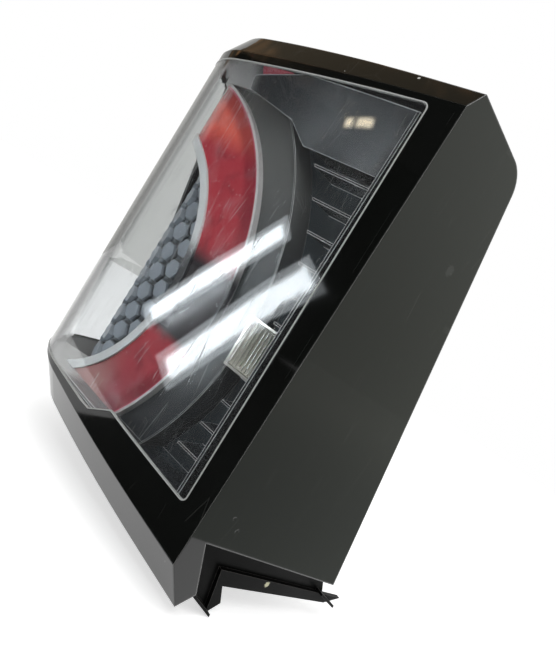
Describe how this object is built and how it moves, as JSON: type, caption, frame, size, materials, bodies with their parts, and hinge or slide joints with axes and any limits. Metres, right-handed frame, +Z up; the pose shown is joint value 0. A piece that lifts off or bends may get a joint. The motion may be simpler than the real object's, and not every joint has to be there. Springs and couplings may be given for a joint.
{
  "type": "tail light cluster",
  "caption": "Corner tail light cluster with a wrap-round clear lens, a red ring-shaped tail light, a honeycomb insert, a reverse light and a deep black side panel.",
  "frame": {"origin": "centre of the stud rectangle, on the plane of the stud pads", "axes": "+X along the front towards the flared side panel, +Y back into the car body along the studs, +Z up"},
  "size_m": [0.3469, 0.2108, 0.408],
  "materials": {
    "cover_frame": "high gloss black",
    "outer_lens": "clear, polished",
    "rear_housing": "moulded, matte",
    "lens_seal": "cured sealant",
    "body_gasket": "closed-cell foam",
    "mounting_studs": "zinc plated",
    "locating_pin": "natural nylon",
    "vent_caps": "matte",
    "module_case": "moulded, matte",
    "module_lid": "satin",
    "module_board": "solder resist",
    "connector_socket": "moulded, matte",
    "connector_terminals": "tin plated",
    "reverse_reflector": "vacuum metallised",
    "reverse_lens": "clear, fluted",
    "reverse_board": "solder resist",
    "reverse_led": "phosphor",
    "inner_bezel": "satin dark grey",
    "bezel_screws": "zinc plated",
    "reflex_reflector": "red, polished",
    "tail_lens": "red, polished",
    "inner_light_guide": "frosted white",
    "outer_light_guide": "frosted white",
    "sweep_band": "smooth dark grey",
    "tail_board": "solder resist",
    "tail_leds": "clear resin",
    "honeycomb_panel": "fine grain"
  },
  "bodies": {
    "root": {"cover_frame": "cover_frame", "outer_lens": "outer_lens", "rear_housing": "rear_housing", "lens_seal": "lens_seal", "body_gasket": "body_gasket", "mounting_studs": "mounting_studs", "locating_pin": "locating_pin", "vent_caps": "vent_caps", "module_case": "module_case", "module_lid": "module_lid", "module_board": "module_board", "connector_socket": "connector_socket", "connector_terminals": "connector_terminals", "reverse_reflector": "reverse_reflector", "reverse_lens": "reverse_lens", "reverse_board": "reverse_board", "reverse_led": "reverse_led", "inner_bezel": "inner_bezel", "bezel_screws": "bezel_screws", "reflex_reflector": "reflex_reflector", "tail_lens": "tail_lens", "inner_light_guide": "inner_light_guide", "outer_light_guide": "outer_light_guide", "sweep_band": "sweep_band", "tail_board": "tail_board", "tail_leds": "tail_leds", "honeycomb_panel": "honeycomb_panel"}
  },
  "joints": []
}
